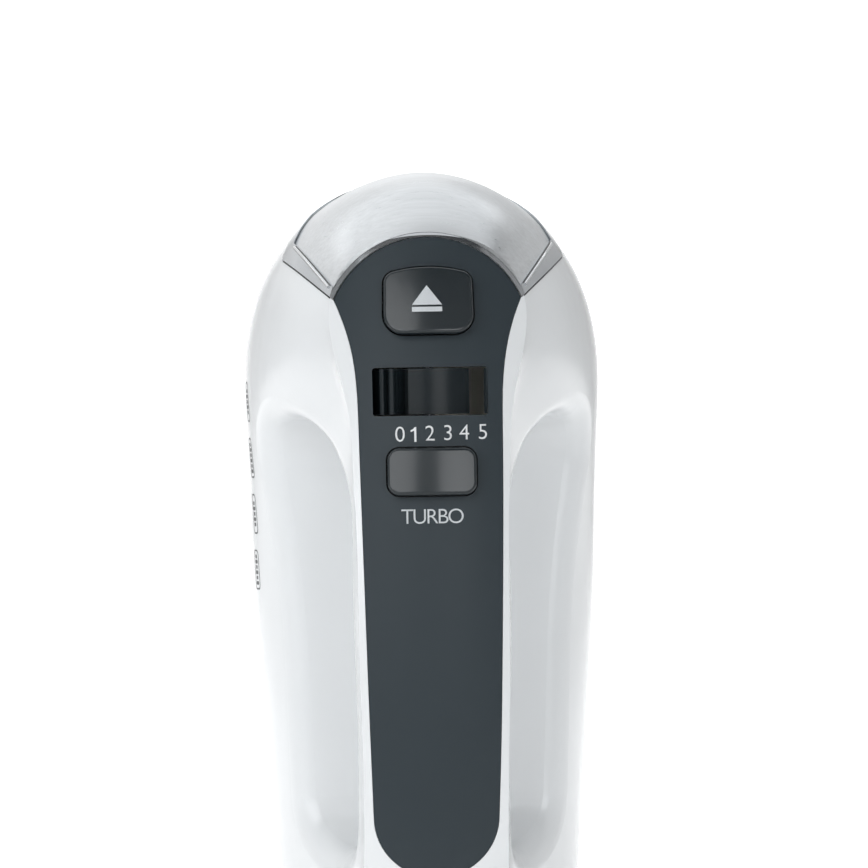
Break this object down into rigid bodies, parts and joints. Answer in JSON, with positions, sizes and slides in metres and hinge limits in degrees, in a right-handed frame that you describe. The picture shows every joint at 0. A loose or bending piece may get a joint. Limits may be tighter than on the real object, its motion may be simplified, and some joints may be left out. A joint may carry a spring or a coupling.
{
  "type": "hand mixer",
  "caption": "Electric hand mixer with a closed-loop handle over a finger gap, panel controls, steel nose plate and wire beaters, standing on its heel.",
  "frame": {"origin": "middle of the heel's rest plane, on the face of the middle heel pad", "axes": "+Z from the heel to the nose, +X to the mixer's right side, -Y out of the handle's top, so the beaters point along +Y"},
  "size_m": [0.0913, 0.2584, 0.1955],
  "materials": {
    "white_casing": "gloss",
    "grey_panel": "fine matt texture",
    "black_gloss": "gloss",
    "chrome": "polished",
    "brushed_steel": "brushed",
    "steel": "machined",
    "screw_steel": "zinc plated",
    "silicon_steel": "laminated, oiled",
    "copper": "enamelled wire",
    "commutator_copper": "turned",
    "sintered_bronze": "sintered",
    "brass": "drawn",
    "carbon": "matt",
    "cast_alloy": "as cast",
    "nylon": "satin",
    "grey_nylon": "satin",
    "board_green": "solder mask",
    "component_black": "satin",
    "rubber": "matt"
  },
  "bodies": {
    "housing": {"housing_left": "white_casing", "housing_right": "white_casing", "housing_screws": "screw_steel", "control_panel": "grey_panel", "nose_bezel": "chrome", "nose_plate": "brushed_steel", "socket_rings": "grey_panel", "heel_pads": "rubber", "cord_gland": "rubber", "ejector_guide": "nylon", "eject_spring": "steel", "turbo_switch": "component_black", "turbo_spring": "steel", "dial_bracket": "nylon", "speed_switch": "component_black", "control_board": "board_green", "board_parts": "component_black", "terminal_block": "nylon", "motor_stator": "silicon_steel", "field_coils": "copper", "motor_bracket_rear": "cast_alloy", "motor_bracket_front": "cast_alloy", "motor_bearing_rear": "sintered_bronze", "motor_bearing_front": "sintered_bronze", "motor_screws": "screw_steel", "motor_cradle": "nylon", "brush_holders": "brass", "carbon_brushes": "carbon", "brush_springs": "steel", "worm_bush": "sintered_bronze", "gear_case": "nylon", "gear_cover": "nylon", "cover_screws": "screw_steel", "spindle_bushes": "sintered_bronze"},
    "speed_dial": {"speed_dial": "black_gloss", "dial_pin": "steel"},
    "turbo_button": {"turbo_button": "black_gloss"},
    "ejector": {"eject_button": "black_gloss", "ejector_frame": "grey_nylon"},
    "motor_rotor": {"worm_shaft": "steel", "armature_core": "silicon_steel", "armature_windings": "copper", "commutator": "commutator_copper", "cooling_fan": "grey_nylon"},
    "spindle_left": {"spindle_left": "steel", "drive_gear_left": "nylon"},
    "beater_left": {"beater_shaft_left": "chrome", "beater_collar_left": "grey_nylon", "beater_ferrule_left": "chrome", "beater_wires_left": "chrome"},
    "spindle_right": {"spindle_right": "steel", "drive_gear_right": "nylon"},
    "beater_right": {"beater_shaft_right": "chrome", "beater_collar_right": "grey_nylon", "beater_ferrule_right": "chrome", "beater_wires_right": "chrome"}
  },
  "joints": [
    {"name": "speed_dial_turn", "type": "hinge", "parent": "housing", "child": "speed_dial", "pos_m": [0, -0.0603, 0.1396], "axis": [0, 0, 1], "range_deg": [0, 60]},
    {"name": "turbo_press", "type": "slide", "parent": "housing", "child": "turbo_button", "axis": [0, 1, 0], "range_m": [0, 0.0025], "stiffness_N_per_m": 400, "springref_m": -0.003, "deforming": ["turbo_spring"]},
    {"name": "eject_press", "type": "slide", "parent": "housing", "child": "ejector", "axis": [0, 1, 0], "range_m": [0, 0.006], "stiffness_N_per_m": 800, "springref_m": -0.004, "deforming": ["eject_spring"]},
    {"name": "motor_spin", "type": "hinge", "parent": "housing", "child": "motor_rotor", "pos_m": [0, 0.011, 0.1], "axis": [0, 0, 1], "continuous": true},
    {"name": "spindle_left_spin", "type": "hinge", "parent": "housing", "child": "spindle_left", "pos_m": [-0.021, 0.011, 0.152], "axis": [0, 1, 0], "continuous": true},
    {"name": "beater_left_release", "type": "slide", "parent": "spindle_left", "child": "beater_left", "axis": [0, 1, 0], "range_m": [0, 0.006]},
    {"name": "spindle_right_spin", "type": "hinge", "parent": "housing", "child": "spindle_right", "pos_m": [0.021, 0.011, 0.152], "axis": [0, 1, 0], "continuous": true},
    {"name": "beater_right_release", "type": "slide", "parent": "spindle_right", "child": "beater_right", "axis": [0, 1, 0], "range_m": [0, 0.006]}
  ],
  "couplings": [
    {"joint": "spindle_left_spin", "follows": "motor_spin", "ratio": 0.071429},
    {"joint": "beater_left_release", "follows": "eject_press", "ratio": 1},
    {"joint": "spindle_right_spin", "follows": "motor_spin", "ratio": -0.071429},
    {"joint": "beater_right_release", "follows": "eject_press", "ratio": 1}
  ]
}
